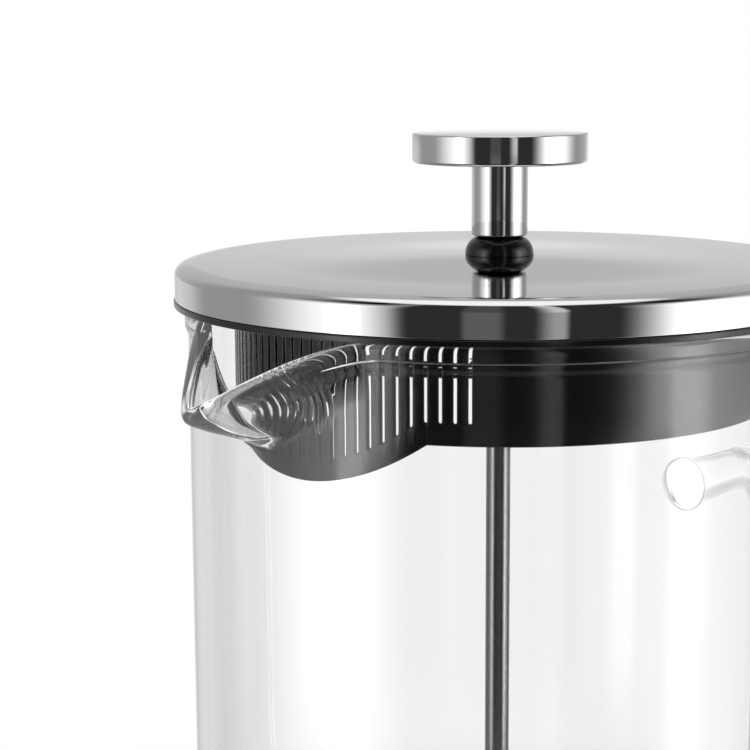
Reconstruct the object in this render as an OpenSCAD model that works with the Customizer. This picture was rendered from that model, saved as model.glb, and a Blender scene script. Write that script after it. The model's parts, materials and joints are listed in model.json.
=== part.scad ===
// French press: glass jug with a glass handle, steel lid cap, slotted
// strainer insert, and a plunger with a three-layer filter.
// Origin at the centre of the base, +Z up, spout along -X, handle along +X.

/* [Jug] */
// Outside diameter of the glass jug
jug_d = 100; // [94:1:110]
// Height of the glass rim above the table
jug_h = 170; // [150:1:200]
// Thickness of the glass wall
glass_t = 2; // [1.6:0.1:2.2]
// Thickness of the glass floor
floor_t = 3; // [2.5:0.1:4]
// Outside corner radius at the foot of the jug
foot_r = 8; // [6:0.5:10]

/* [Spout] */
// How far the spout stands out from the jug wall
spout_reach = 13.6; // [10:0.1:14]
// How far the lip falls below the rim at its tip
spout_drop = 10.5; // [8:0.5:11]
// How far below the rim the spout leaves the wall
spout_root = 17.3; // [16:0.1:20]
// Radius of the rounded nose of the spout
nose_r = 6.2; // [5:0.1:7]
// Half angle of the wall that the spout is pulled from
spout_half_angle = 21; // [20:1:26]

/* [Handle] */
// Diameter of the glass rod of the handle
handle_d = 8; // [7:0.5:12]
// Height of the upper arm of the handle
handle_top = 132; // [120:1:140]
// Height of the lower arm of the handle
handle_low = 42; // [30:1:60]
// Distance from the jug wall to the middle of the grip
handle_reach = 35; // [30:1:42]
// Bend radius of the handle at its corners
handle_bend = 17; // [12:1:20]

/* [Lid] */
// Outside diameter of the steel cap
cap_d = 104; // [104:1:114]
// Height of the cap at its edge
cap_h = 5.65; // [5:0.05:7]
// Thickness of the cap sheet
cap_t = 0.8; // [0.6:0.1:1]
// Height that the middle of the cap stands above its edge
cap_rise = 0.7; // [0:0.1:1]
// Height of the black flange that shows under the cap
flange_h = 0.95; // [0.8:0.05:1.5]

/* [Strainer insert] */
// Outside diameter of the strainer skirt
skirt_d = 85.2; // [80:0.1:86]
// Thickness of the skirt wall
skirt_t = 1; // [0.8:0.1:1.8]
// How far the skirt hangs below the glass rim
skirt_drop = 15.5; // [14:0.5:18]
// How far the apron in front of the spout hangs below the skirt
apron_drop = 7.4; // [5:0.1:9]
// Radius of the curved lower edge of the apron
apron_r = 35; // [33:1:37]
// Number of strainer slots
slot_count = 28; // [10:1:32]
// Angle between neighbouring slots
slot_pitch = 2.864; // [2.6:0.001:3]
// Width of a slot
slot_w = 0.6; // [0.4:0.05:0.9]
// Height of wall left below a slot
slot_margin = 3.2; // [2.5:0.1:4]

/* [Plunger] */
// Diameter of the plunger rod
rod_d = 4; // [4:0.5:5]
// Diameter of the knob disc
knob_d = 28; // [24:1:34]
// Thickness of the knob disc
knob_t = 4.7; // [4.4:0.1:6]
// Diameter of the knob stem
stem_d = 9; // [8.5:0.1:10]
// Length of the knob stem below the disc
stem_len = 11.6; // [9:0.1:16]
// Diameter of the round black bush on the lid
bush_d = 11; // [10.5:0.1:12]
// Height of the bush above the cap
bush_h = 3.05; // [2.6:0.05:3.2]

/* [Filter] */
// Gap between the filter edge and the glass
filter_gap = 0.6; // [0.4:0.1:1]
// Diameter of the coil of the edge spring
coil_d = 3.6; // [3:0.1:4]
// Thickness of the pressed plates
plate_t = 0.8; // [0.6:0.1:1]
// Thickness of the woven screen
screen_t = 0.3; // [0.2:0.1:0.4]
// Number of windows in the cross plate
window_count = 8; // [6:1:10]
// Number of holes in each ring of the spiral plate
hole_count = 18; // [12:1:20]

/* [Hidden] */
$fn = 96;
eps = 0.01;
fit_gap = 0.05;      // running clearance between a shaft and its hole
touch_gap = 0.02;    // clearance between stacked pieces

glass = [0.86, 0.92, 0.93, 0.35];
black = [0.07, 0.07, 0.07];
steel = [0.78, 0.78, 0.79];

// jug and rim
jug_r = jug_d / 2;
bore_r = jug_r - glass_t;
rim_bead_r = glass_t / 2 + 0.3;
rim_bead_x = jug_r - 0.6;
tip_r = jug_r + spout_reach;
root_ball_r = 5.6;
throat_w = 2 * jug_r * sin(spout_half_angle);
throat_x = jug_r * cos(spout_half_angle);
lip_angle = atan(spout_drop / (tip_r - throat_x));

// lid heights
cap_r = cap_d / 2;
cap_low = jug_h + flange_h;
cap_top = cap_low + cap_h;
cap_edge_r = 1.6;
cap_hole_r = 3.6;
rise_r = 0.73 * cap_r;
rise_steps = 12;
edge_steps = 6;

// insert
skirt_r = skirt_d / 2;
skirt_low = jug_h - skirt_drop;
apron_low = skirt_low - apron_drop;
apron_z = apron_low + apron_r;
slot_top = jug_h - 1.8;
insert_r = cap_r - cap_t - 0.1;
insert_top = cap_low + 2.6;
web_t = 2;
hub_r = 8;
hub_low = jug_h - 5;
hub_top = cap_top - cap_t - 0.2;
shank_r = 3.45;
shank_bore = shank_r + fit_gap;
rib_count = 6;
rib_t = 1.2;

// bush, its washer and its nut
rod_r = rod_d / 2;
rod_bore = rod_r + fit_gap;
bush_r = bush_d / 2;
bush_low = cap_top + cap_rise + touch_gap;
bush_top = bush_low + bush_h;
bun_r = bush_h - 0.15;
bush_washer_t = 0.6;
bush_washer_r = hub_r - 0.4;
bush_nut_r = 6.4;
bush_nut_h = 3.4;
bush_nut_top = hub_low - touch_gap - bush_washer_t - touch_gap;
bush_nut_low = bush_nut_top - bush_nut_h;

// knob
stem_r = stem_d / 2;
stem_low = bush_top + touch_gap;
disc_low = stem_low + stem_len;
disc_top = disc_low + knob_t;
spigot_r = 3;
spigot_h = 3.2;
rod_end = disc_low - 3.2;

// filter stack, from the bottom up
hub_nut_low = floor_t + 2;
hub_nut_h = 2.6;
hub_washer_low = hub_nut_low + hub_nut_h;
washer_t = 0.5;
cross_low = hub_washer_low + washer_t;
screen_low = cross_low + plate_t;
spiral_low = screen_low + screen_t;
boss_washer_low = spiral_low + plate_t;
boss_low = boss_washer_low + washer_t;
boss_h = 9;
boss_r = 5;
nut_across = 8;
screen_r = bore_r - filter_gap;
coil_r = coil_d / 2;
coil_ring_r = screen_r - screen_t - 0.1 - coil_r;
coil_z = spiral_low + coil_r;
spiral_r = coil_ring_r - coil_r - 0.1;
spiral_lip_h = 3;
cross_r = screen_r - 3.5;
cross_lip_h = 3;
eyelet_r = 6;

// height of the cap surface above its edge at radius r
function rise(r) = r < rise_r ? cap_rise / 2 * (1 + cos(180 * r / rise_r)) : 0;

// lowest point of the slot whose middle is at angle a from the spout
function slot_low(a) =
    let (reach = apron_r - slot_margin, side = skirt_r * sin(a))
    abs(side) < reach
        ? min(skirt_low + slot_margin, apron_z - sqrt(reach * reach - side * side))
        : skirt_low + slot_margin;

// ring between two radii, from low to high
module ring(outer, inner, low, high) {
    translate([0, 0, low])
        difference() {
            cylinder(r = outer, h = high - low);
            translate([0, 0, -1]) cylinder(r = inner, h = high - low + 2);
        }
}

// round-footed pot: a cylinder whose lower edge is rounded
module pot(radius, corner, low, high) {
    translate([0, 0, low + corner]) cylinder(r = radius, h = high - low - corner);
    translate([0, 0, low]) cylinder(r = radius - corner, h = corner + eps);
    translate([0, 0, low + corner])
        rotate_extrude()
            translate([radius - corner, 0])
                intersection() {
                    circle(r = corner);
                    translate([0, -corner]) square([corner, corner + eps]);
                }
}

// spout bulge: a round nose, the throat in the wall and a round root, blended
module spout_bulge(wall, inset) {
    nose = nose_r - inset;
    root = root_ball_r - inset;
    hull() {
        translate([-(tip_r - nose_r), 0, jug_h - spout_drop - 2.5 + inset])
            cylinder(r1 = nose - 1, r2 = nose, h = spout_drop + 6, $fn = 32);
        translate([-(jug_r - 4.2), 0, jug_h - spout_root + root_ball_r])
            sphere(r = root, $fn = 32);
        intersection() {
            translate([0, 0, jug_h - spout_drop - 1]) cylinder(r = wall, h = spout_drop + 5, $fn = 64);
            translate([-jug_r, -throat_w / 2 + inset, jug_h - spout_drop - 1])
                cube([jug_r - throat_x + 6, throat_w - 2 * inset, spout_drop + 5]);
        }
    }
}

// everything above the sloping lip
module lip_cut() {
    translate([-throat_x, 0, jug_h])
        rotate([0, -lip_angle, 0])
            translate([-2 * spout_reach - 20, -jug_r, 0])
                cube([2 * spout_reach + 20, jug_d, 20]);
}

module beaker() {
    color(glass)
        difference() {
            union() {
                pot(jug_r, foot_r, 0, jug_h - rim_bead_r);
                translate([0, 0, jug_h - rim_bead_r])
                    rotate_extrude() translate([rim_bead_x, 0]) circle(r = rim_bead_r);
                difference() {
                    spout_bulge(jug_r - 0.5, 0);
                    lip_cut();
                    translate([-jug_r - 20, -jug_r, jug_h]) cube([40, jug_d, 20]);
                }
            }
            pot(bore_r, foot_r - glass_t, floor_t, jug_h + 1);
            spout_bulge(bore_r - 0.5, glass_t);
            lip_cut();
        }
}

// quarter bend of the handle rod, centred at x, z and turned by turn
module handle_corner(x, z, turn) {
    translate([x, 0, z])
        rotate([90, 0, 0])
            rotate([0, 0, turn])
                rotate_extrude(angle = 90) translate([handle_bend, 0]) circle(d = handle_d);
}

module glass_handle() {
    grip_x = jug_r + handle_reach;
    arm_len = handle_reach - handle_bend + 1;
    corner_x = grip_x - handle_bend;
    color(glass) {
        for (z = [handle_low, handle_top])
            translate([jug_r - 1, 0, z]) rotate([0, 90, 0]) cylinder(d = handle_d, h = arm_len);
        handle_corner(corner_x, handle_top - handle_bend, 0);
        handle_corner(corner_x, handle_low + handle_bend, -90);
        translate([grip_x, 0, handle_low + handle_bend])
            cylinder(d = handle_d, h = handle_top - handle_low - 2 * handle_bend);
    }
}

module lid_cap() {
    top_line = [for (i = [0:rise_steps])
        let (r = cap_hole_r + (rise_r - cap_hole_r) * i / rise_steps) [r, cap_top + rise(r)]];
    edge_line = [for (i = [0:edge_steps])
        let (a = 90 - 90 * i / edge_steps)
        [cap_r - cap_edge_r * (1 - cos(a)), cap_top - cap_edge_r * (1 - sin(a))]];
    under_line = [for (i = [rise_steps:-1:0])
        let (r = cap_hole_r + (rise_r - cap_hole_r) * i / rise_steps) [r, cap_top + rise(r) - cap_t]];
    color(steel)
        rotate_extrude()
            polygon(concat(top_line, edge_line,
                [[cap_r, cap_low], [cap_r - cap_t, cap_low], [cap_r - cap_t, cap_top - cap_t]],
                under_line));
}

// skirt of the strainer with its apron in front of the spout
module strainer_skirt() {
    difference() {
        intersection() {
            ring(skirt_r, skirt_r - skirt_t, apron_low - 1, cap_low);
            union() {
                translate([-jug_r, -jug_r, skirt_low]) cube([jug_d, jug_d, 2 * skirt_drop]);
                translate([0, 0, apron_z]) rotate([0, -90, 0]) cylinder(r = apron_r, h = jug_r);
            }
        }
        for (i = [0:slot_count - 1])
            let (a = (i - (slot_count - 1) / 2) * slot_pitch)
                rotate([0, 0, 180 + a])
                    translate([skirt_r - skirt_t - 1, -slot_w / 2, slot_low(a)])
                        cube([skirt_t + 2, slot_w, slot_top - slot_low(a)]);
    }
}

module lid_insert() {
    color(black) {
        strainer_skirt();
        difference() {
            union() {
                ring(cap_r + 0.2, skirt_r - skirt_t, jug_h, cap_low);
                ring(insert_r, skirt_r - skirt_t, cap_low - eps, insert_top);
                ring(skirt_r, hub_r - 1, insert_top - web_t, insert_top);
                ring(hub_r, shank_bore, hub_low, hub_top);
                for (i = [0:rib_count - 1])
                    rotate([0, 0, (i + 0.5) * 360 / rib_count])
                        translate([hub_r - 1, -rib_t / 2, insert_top - eps])
                            cube([skirt_r - hub_r, rib_t, hub_top - insert_top - 0.5]);
            }
            translate([0, 0, hub_low - 1]) cylinder(r = shank_bore, h = hub_top - hub_low + 2);
        }
    }
}

module guide_bush() {
    color(black)
        difference() {
            union() {
                translate([0, 0, bush_low])
                    rotate_extrude()
                        intersection() {
                            union() {
                                translate([bush_r - bun_r, 0.2]) circle(r = bun_r);
                                square([bush_r - bun_r, bush_h]);
                            }
                            square([bush_r, bush_h]);
                        }
                translate([0, 0, bush_nut_low - 0.8])
                    cylinder(r = shank_r, h = bush_low - bush_nut_low + 0.8 + eps);
            }
            translate([0, 0, bush_nut_low - 2]) cylinder(r = rod_bore, h = bush_top - bush_nut_low + 4);
        }
}

module bush_washer() {
    color(steel)
        ring(bush_washer_r, shank_r + touch_gap, bush_nut_top + touch_gap, hub_low - touch_gap);
}

module bush_nut() {
    color(black)
        difference() {
            translate([0, 0, bush_nut_low])
                cylinder(r = bush_nut_r, h = bush_nut_h, $fn = 6);
            translate([0, 0, bush_nut_low - 1])
                cylinder(r = shank_r + touch_gap, h = bush_nut_h + 2);
        }
}

module plunger_rod() {
    color(steel)
        translate([0, 0, hub_nut_low + 0.6]) cylinder(r = rod_r, h = rod_end - hub_nut_low - 0.8);
}

module knob_stem() {
    color(steel)
        difference() {
            union() {
                translate([0, 0, stem_low]) cylinder(r1 = stem_r - 0.4, r2 = stem_r, h = 0.4);
                translate([0, 0, stem_low + 0.4]) cylinder(r = stem_r, h = stem_len - 0.4);
                translate([0, 0, disc_low - eps]) cylinder(r = spigot_r, h = spigot_h);
            }
            translate([0, 0, stem_low - 1]) cylinder(r = rod_bore, h = rod_end - stem_low + 1);
        }
}

module knob_disc() {
    knob_r = knob_d / 2;
    soft = 0.4;
    crisp = 0.3;
    color(steel)
        difference() {
            rotate_extrude() {
                translate([0, disc_low + soft]) square([knob_r, knob_t - soft - crisp]);
                translate([0, disc_low]) square([knob_r - soft, knob_t]);
                translate([knob_r - soft, disc_low + soft]) circle(r = soft);
                translate([0, disc_top - 2 * crisp]) square([knob_r - crisp, 2 * crisp]);
                translate([knob_r - crisp, disc_top - crisp]) circle(r = crisp);
            }
            translate([0, 0, disc_low - 1]) cylinder(r = spigot_r + touch_gap, h = spigot_h + 1.1);
        }
}

module filter_boss() {
    color(steel)
        difference() {
            union() {
                translate([0, 0, boss_low]) cylinder(r = boss_r, h = boss_h - 1);
                translate([0, 0, boss_low + boss_h - 1]) cylinder(r1 = boss_r, r2 = boss_r - 1, h = 1);
            }
            translate([0, 0, boss_low - 1]) cylinder(r = rod_bore, h = boss_h + 2);
        }
}

module boss_washer() {
    color(steel) ring(boss_r + 1, rod_r + 0.2, boss_washer_low, boss_low - touch_gap);
}

module spiral_plate() {
    color(steel)
        difference() {
            union() {
                ring(spiral_r, rod_r + 0.2, spiral_low + touch_gap, spiral_low + plate_t - touch_gap);
                ring(spiral_r, spiral_r - plate_t, spiral_low + touch_gap, spiral_low + spiral_lip_h);
            }
            for (track = [0:2], i = [0:hole_count - 1])
                rotate([0, 0, (i + track / 3) * 360 / hole_count])
                    translate([0.38 * spiral_r + track * 0.22 * spiral_r, 0, spiral_low - 1])
                        cylinder(r = 1.2 + 0.5 * track, h = plate_t + 2, $fn = 24);
        }
}

module edge_spring() {
    color(steel)
        translate([0, 0, coil_z + touch_gap])
            rotate_extrude()
                translate([coil_ring_r, 0]) circle(r = coil_r - touch_gap, $fn = 32);
}

module mesh_screen() {
    color([0.7, 0.7, 0.71]) {
        ring(screen_r, eyelet_r + touch_gap, screen_low + touch_gap, spiral_low);
        ring(screen_r, screen_r - screen_t, spiral_low - eps, spiral_low + coil_d);
    }
}

module screen_eyelet() {
    color(steel) ring(eyelet_r, rod_r + 0.2, screen_low + touch_gap, spiral_low);
}

module cross_plate() {
    hub = 0.22 * cross_r;
    band = 0.62 * cross_r;
    color(steel)
        difference() {
            union() {
                ring(cross_r, rod_r + 0.2, cross_low, screen_low);
                ring(cross_r, cross_r - plate_t, screen_low - cross_lip_h, screen_low);
            }
            for (i = [0:window_count - 1])
                rotate([0, 0, i * 360 / window_count])
                    intersection() {
                        ring(0.9 * cross_r, hub, cross_low - 1, screen_low + 1);
                        translate([hub, -0.09 * cross_r, cross_low - 2])
                            cube([cross_r, 0.18 * cross_r, plate_t + 4]);
                    }
            for (i = [0:window_count - 1])
                rotate([0, 0, (i + 0.5) * 360 / window_count])
                    translate([band + 0.12 * cross_r, 0, cross_low - 1])
                        cylinder(r = 0.13 * cross_r, h = plate_t + 2);
        }
}

module hub_washer() {
    color(steel) ring(boss_r + 1, rod_r + 0.2, hub_washer_low, cross_low - touch_gap);
}

module hub_nut() {
    color(steel)
        difference() {
            translate([0, 0, hub_nut_low])
                cylinder(r = nut_across / sqrt(3), h = hub_nut_h - touch_gap, $fn = 6);
            translate([0, 0, hub_nut_low - 1]) cylinder(r = rod_bore, h = hub_nut_h + 2);
        }
}

beaker();
glass_handle();
lid_cap();
lid_insert();
guide_bush();
bush_washer();
bush_nut();
plunger_rod();
knob_stem();
knob_disc();
filter_boss();
boss_washer();
spiral_plate();
edge_spring();
mesh_screen();
screen_eyelet();
cross_plate();
hub_washer();
hub_nut();
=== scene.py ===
"""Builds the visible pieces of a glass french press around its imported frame.

Jug and handle are clear glass, the lid cap and the knob polished steel, the strainer and the
bush black plastic. All sizes are in metres. The spout points along -X and the handle along +X.
"""
import json
import math

import bmesh
import bpy
import numpy as np
from bpy.props import FloatProperty, FloatVectorProperty, IntProperty, PointerProperty
from mathutils import Matrix, Vector


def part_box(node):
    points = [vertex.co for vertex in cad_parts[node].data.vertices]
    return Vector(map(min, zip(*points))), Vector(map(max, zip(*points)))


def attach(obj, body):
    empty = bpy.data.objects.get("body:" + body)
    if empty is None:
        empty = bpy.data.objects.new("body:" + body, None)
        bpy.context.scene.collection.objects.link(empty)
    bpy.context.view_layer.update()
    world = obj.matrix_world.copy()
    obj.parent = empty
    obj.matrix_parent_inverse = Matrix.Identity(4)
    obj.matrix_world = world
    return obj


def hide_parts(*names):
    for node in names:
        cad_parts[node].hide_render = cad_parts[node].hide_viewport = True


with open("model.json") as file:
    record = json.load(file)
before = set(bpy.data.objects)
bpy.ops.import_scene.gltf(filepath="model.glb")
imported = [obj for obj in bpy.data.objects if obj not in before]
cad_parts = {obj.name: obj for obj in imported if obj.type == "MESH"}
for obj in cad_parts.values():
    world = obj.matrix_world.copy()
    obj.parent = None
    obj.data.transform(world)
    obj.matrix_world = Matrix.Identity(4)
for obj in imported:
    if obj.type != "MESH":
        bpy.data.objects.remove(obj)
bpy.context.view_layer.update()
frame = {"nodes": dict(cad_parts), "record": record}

bl_info = {
    "name": "French press",
    "version": (1, 0, 0),
    "blender": (4, 5, 0),
    "location": "3D View > Sidebar > French press",
    "description": "Makes a glass french press with its lid, plunger and filter",
    "category": "Add Mesh",
}

MM = 0.001

RIM_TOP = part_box("beaker")[1].z
CAP_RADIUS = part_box("lid_cap")[1].y
CAP_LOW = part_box("lid_cap")[0].z
CAP_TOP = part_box("lid_cap")[1].z
FLANGE_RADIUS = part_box("lid_insert")[1].y
APRON_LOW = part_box("lid_insert")[0].z
BUSH_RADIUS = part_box("guide_bush")[1].y
KNOB_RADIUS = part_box("knob_disc")[1].y
STEM_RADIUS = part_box("knob_stem")[1].y
ROD_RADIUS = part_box("plunger_rod")[1].y
RUNNING_GAP = 0.05 * MM


# ---------------------------------------------------------------- node graphs

def forward(operation):
    """An operator of Number that has the number first."""
    return lambda self, other: self.graph.math(operation, self, other)


def reflected(operation):
    """An operator of Number that has the other value first."""
    return lambda self, other: self.graph.math(operation, other, self)


class Number:
    """A number socket of a node tree. Arithmetic on it adds Math nodes."""

    def __init__(self, graph, socket):
        self.graph = graph
        self.socket = socket

    __add__, __radd__ = forward("ADD"), reflected("ADD")
    __sub__, __rsub__ = forward("SUBTRACT"), reflected("SUBTRACT")
    __mul__, __rmul__ = forward("MULTIPLY"), reflected("MULTIPLY")
    __truediv__, __rtruediv__ = forward("DIVIDE"), reflected("DIVIDE")
    __pow__, __mod__ = forward("POWER"), forward("FLOORED_MODULO")
    __lt__, __gt__ = forward("LESS_THAN"), forward("GREATER_THAN")


class Graph:
    """A node tree of a material, a world or a modifier."""

    def __init__(self, tree):
        self.tree = tree

    def node(self, kind, settings=None, values=None):
        """Adds a node: its settings first, then its sockets by name or number."""
        made = self.tree.nodes.new(kind)
        settings = dict(settings or {})
        stops = settings.pop("stops", None)
        for key, value in settings.items():
            setattr(made, key, value)
        if stops:
            ramp = made.color_ramp.elements
            while len(ramp) < len(stops):
                ramp.new(0.5)
            for element, (place, shade) in zip(ramp, stops):
                element.position = place
                element.color = (shade, shade, shade, 1)
        for key, value in (values or {}).items():
            self.set(made.inputs[key], value)
        return made

    def set(self, socket, value):
        """Links a socket, or gives it a fixed value."""
        if isinstance(value, Number):
            value = value.socket
        if isinstance(value, bpy.types.NodeSocket):
            self.tree.links.new(value, socket)
        else:
            socket.default_value = value

    def out(self, made, key=0):
        return Number(self, made.outputs[key])

    def geometry(self, kind, values=None):
        """The first output of a new geometry node."""
        return self.node("GeometryNode" + kind, None, values).outputs[0]

    def math(self, operation, *values):
        made = self.node("ShaderNodeMath", {"operation": operation}, dict(enumerate(values)))
        return self.out(made)

    def step(self, value, start, full):
        """0 before start, 1 from full on, and smooth in between."""
        made = self.node("ShaderNodeMapRange", {"interpolation_type": "SMOOTHSTEP"},
                         {"Value": value, "From Min": start, "From Max": full})
        return self.out(made)

    def xyz(self, vector):
        made = self.node("ShaderNodeSeparateXYZ", None, {0: vector})
        return [self.out(made, k) for k in range(3)]

    def vector(self, x, y, z):
        return self.node("ShaderNodeCombineXYZ", None, {0: x, 1: y, 2: z}).outputs[0]

    def distance(self, vector, point):
        made = self.node("ShaderNodeVectorMath", {"operation": "DISTANCE"}, {0: vector, 1: point})
        return self.out(made, "Value")

    def noise(self, vector, scale, detail=2.0):
        made = self.node("ShaderNodeTexNoise", None,
                         {"Vector": vector, "Scale": scale, "Detail": detail})
        return self.out(made, "Fac")

    def blend(self, amount, first, second):
        """Colour between first and second."""
        made = self.node("ShaderNodeMix", {"data_type": "RGBA"},
                         {"Factor": amount, 6: first, 7: second})
        return made.outputs[2]


# ---------------------------------------------------------------- finishes

def new_finish(name, fixed=None):
    """A node material with its graph, shader and object coordinates, and its fixed sockets set."""
    material = bpy.data.materials.new(name)
    material.use_nodes = True
    graph = Graph(material.node_tree)
    shader = material.node_tree.nodes["Principled BSDF"]
    for key, value in (fixed or {}).items():
        shader.inputs[key].default_value = value
    place = graph.node("ShaderNodeTexCoord").outputs["Object"]
    return material, graph, shader, place


def bump(graph, shader, height, depth):
    """Feeds a height, with its depth in metres, to the shader's normal."""
    made = graph.node("ShaderNodeBump", None,
                      {"Strength": 1.0, "Distance": depth, "Height": height})
    graph.set(shader.inputs["Normal"], made.outputs[0])


def dress(graph, shader, tone, roughness, height, depth):
    """Feeds colour, roughness and a bump to the shader."""
    graph.set(shader.inputs["Base Color"], tone)
    graph.set(shader.inputs["Roughness"], roughness)
    bump(graph, shader, height, depth)


def clear_glass():
    """Fire-polished glass: faint draw waves, tool ripples beside the spout, a few wiping marks.

    Rays reflected in it more than three times pick up a painted glow, standing in for light lost
    where long paths in the glass end: even in the handle, streaked at the spout, hardly any
    elsewhere.
    """
    press = bpy.context.scene.press_jug
    material, graph, shader, place = new_finish("clear_glass", {
        "Base Color": (*press.tint, 1), "Transmission Weight": 1.0, "IOR": 1.47,
        "Emission Strength": 1.0})
    wave_depth = 0.06 * MM
    last_reflection = 3.5
    x, y, z = graph.xyz(place)
    wave = graph.noise(graph.vector(x, y, z * 0.25), 30.0, 1.0)
    marks = graph.step(graph.noise(graph.vector(x * 2, y * 2, z), 40.0, 3.0), 0.62, 0.8)
    graph.set(shader.inputs["Roughness"], marks * 0.012)

    bent = graph.distance(place, press.ripple_start) + graph.noise(place, 170.0, 1.0) * 1.5 * MM
    ripple = graph.math("SINE", bent * (2 * math.pi / press.ripple_pitch))
    inside = 1 - graph.step(graph.distance(place, press.ripple_middle), 3 * MM, 6.5 * MM)
    bump(graph, shader, wave + ripple * inside * press.ripple_height, wave_depth)

    # painted glow level: even in the handle, streaked at the spout, faint elsewhere; it stands in
    # for light lost in long paths through the glass
    glow_streak = graph.step(graph.noise(place, 140.0, 1.0), 0.40, 0.60)
    handle_glow = graph.step(x, 45 * MM, 50 * MM)
    spout_glow = graph.step(0 - x, 45.5 * MM, 49 * MM)
    shade = handle_glow * 0.74 + spout_glow * (0.38 + glow_streak * 0.40) + 0.06
    turns = graph.out(graph.node("ShaderNodeLightPath"), "Glossy Depth")
    # painted glow, emitted by the glass only on rays past their third reflection
    glow = graph.blend(shade * (turns > last_reflection), (0, 0, 0, 1), (1, 1, 1, 1))
    graph.set(shader.inputs["Emission Color"], glow)
    material.cycles.emission_sampling = "NONE"
    return material


METAL = {"Metallic": 1.0}


def polished_steel():
    """Mirror-polished steel with very fine turning rings and a few wiping marks."""
    material, graph, shader, place = new_finish("polished_steel", METAL)
    x, y, z = graph.xyz(place)
    radius = (x * x + y * y) ** 0.5
    rings = graph.noise(graph.vector(radius * 60, z * 60, 0.0), 40.0, 3.0)
    marks = graph.noise(place, 90.0, 4.0)
    tone = graph.blend(marks, (0.66, 0.665, 0.67, 1), (0.70, 0.70, 0.70, 1))
    dress(graph, shader, tone, 0.012 + rings * 0.016 + marks * 0.01, rings, 0.0012 * MM)
    return material


def drawn_steel():
    """Cold-drawn wire: fine lines along its length."""
    material, graph, shader, place = new_finish("drawn_steel", METAL)
    x, y, z = graph.xyz(place)
    lines = graph.noise(graph.vector(x * 14, y * 14, z * 0.2), 160.0, 3.0)
    tone = graph.blend(lines, (0.20, 0.20, 0.205, 1), (0.30, 0.30, 0.305, 1))
    dress(graph, shader, tone, 0.14 + lines * 0.10, lines, 0.004 * MM)
    return material


def pressed_steel():
    """Bright rolled sheet: long rolling lines and cloudy patches."""
    material, graph, shader, place = new_finish("pressed_steel", METAL)
    x, y, z = graph.xyz(place)
    lines = graph.noise(graph.vector(x * 0.5, y * 24, z * 8), 130.0, 4.0)
    clouds = graph.noise(place, 55.0, 3.0)
    tone = graph.blend(clouds, (0.55, 0.55, 0.56, 1), (0.70, 0.70, 0.71, 1))
    dress(graph, shader, tone, 0.16 + lines * 0.12 + clouds * 0.05, lines, 0.004 * MM)
    return material


def woven_steel():
    """Plain-woven wire cloth: wires over and under, open between them."""
    press = bpy.context.scene.press_filter
    material, graph, shader, place = new_finish("woven_steel", METAL)
    x, y, z = graph.xyz(place)
    turn = math.pi / press.weave_pitch
    upright = graph.math("ARCTAN2", y, x) * press.screen_radius
    normal = graph.node("ShaderNodeNewGeometry").outputs["Normal"]
    facing = graph.math("ABSOLUTE", graph.xyz(normal)[2])
    flat = graph.step(facing, 0.4, 0.7)
    across = x * flat + upright * (1 - flat)
    along = y * flat + z * (1 - flat)
    warp = graph.math("COSINE", across * turn)
    weft = graph.math("COSINE", along * turn)
    over = graph.math("SINE", along * turn) * graph.math("SINE", across * turn)
    warp_wire = graph.step(graph.math("ABSOLUTE", warp), 0.35, 0.75)
    weft_wire = graph.step(graph.math("ABSOLUTE", weft), 0.35, 0.75)
    wire = graph.math("MAXIMUM", warp_wire, weft_wire)
    height = warp_wire * (0.6 + over * 0.4) + weft_wire * (0.6 - over * 0.4)
    tone = graph.blend(wire, (0.16, 0.16, 0.165, 1), (0.62, 0.62, 0.63, 1))
    dress(graph, shader, tone, 0.45 - wire * 0.2, height, 0.10 * MM)
    graph.set(shader.inputs["Alpha"], 0.35 + wire * 0.65)
    return material


def black_plastic():
    """Satin moulded plastic with a fine spark texture."""
    press = bpy.context.scene.press_lid
    material, graph, shader, place = new_finish("black_plastic")
    grain = graph.noise(place, 2600.0, 2.0)
    clouds = graph.noise(place, 60.0, 2.0)
    lighter = tuple(min(1.0, c * 1.5) for c in press.plastic)
    tone = graph.blend(clouds, (*press.plastic, 1), (*lighter, 1))
    dress(graph, shader, tone, 0.13 + grain * 0.08 + clouds * 0.03, grain, 0.006 * MM)
    return material


FINISHES = {
    "clear_glass": clear_glass,
    "polished_steel": polished_steel,
    "rod_steel": drawn_steel,
    "bright_steel": pressed_steel,
    "spring_steel": drawn_steel,
    "woven_steel": woven_steel,
    "black_plastic": black_plastic,
}


def finish_for(slot):
    """The material of one of the record's slots, made at its first use."""
    name = "finish_" + slot
    if name not in bpy.data.materials:
        FINISHES[slot]().name = name
    return bpy.data.materials[name]


# ---------------------------------------------------------------- meshes

def arc(centre, radius, first, sweep, steps):
    """Points along an arc, with both its ends."""
    return [centre + radius * Vector((math.cos(first + sweep * i / steps),
                                      math.sin(first + sweep * i / steps)))
            for i in range(steps + 1)]


def rounded(corners, steps=8):
    """Outline through (radius, height, fillet) corners, each rounded by its own fillet."""
    path = []
    for k, (r, z, fillet) in enumerate(corners):
        here = Vector((r, z))
        if not fillet:
            path.append(here)
            continue
        before = (Vector(corners[k - 1][:2]) - here).normalized()
        after = (Vector(corners[(k + 1) % len(corners)][:2]) - here).normalized()
        half = before.angle(after) / 2
        centre = here + (before + after).normalized() * (fillet / math.sin(half))
        start = here + before * (fillet / math.tan(half)) - centre
        end = here + after * (fillet / math.tan(half)) - centre
        first = math.atan2(start.y, start.x)
        sweep = (math.atan2(end.y, end.x) - first + math.pi) % (2 * math.pi) - math.pi
        path += arc(centre, fillet, first, sweep, steps)
    return path


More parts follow.
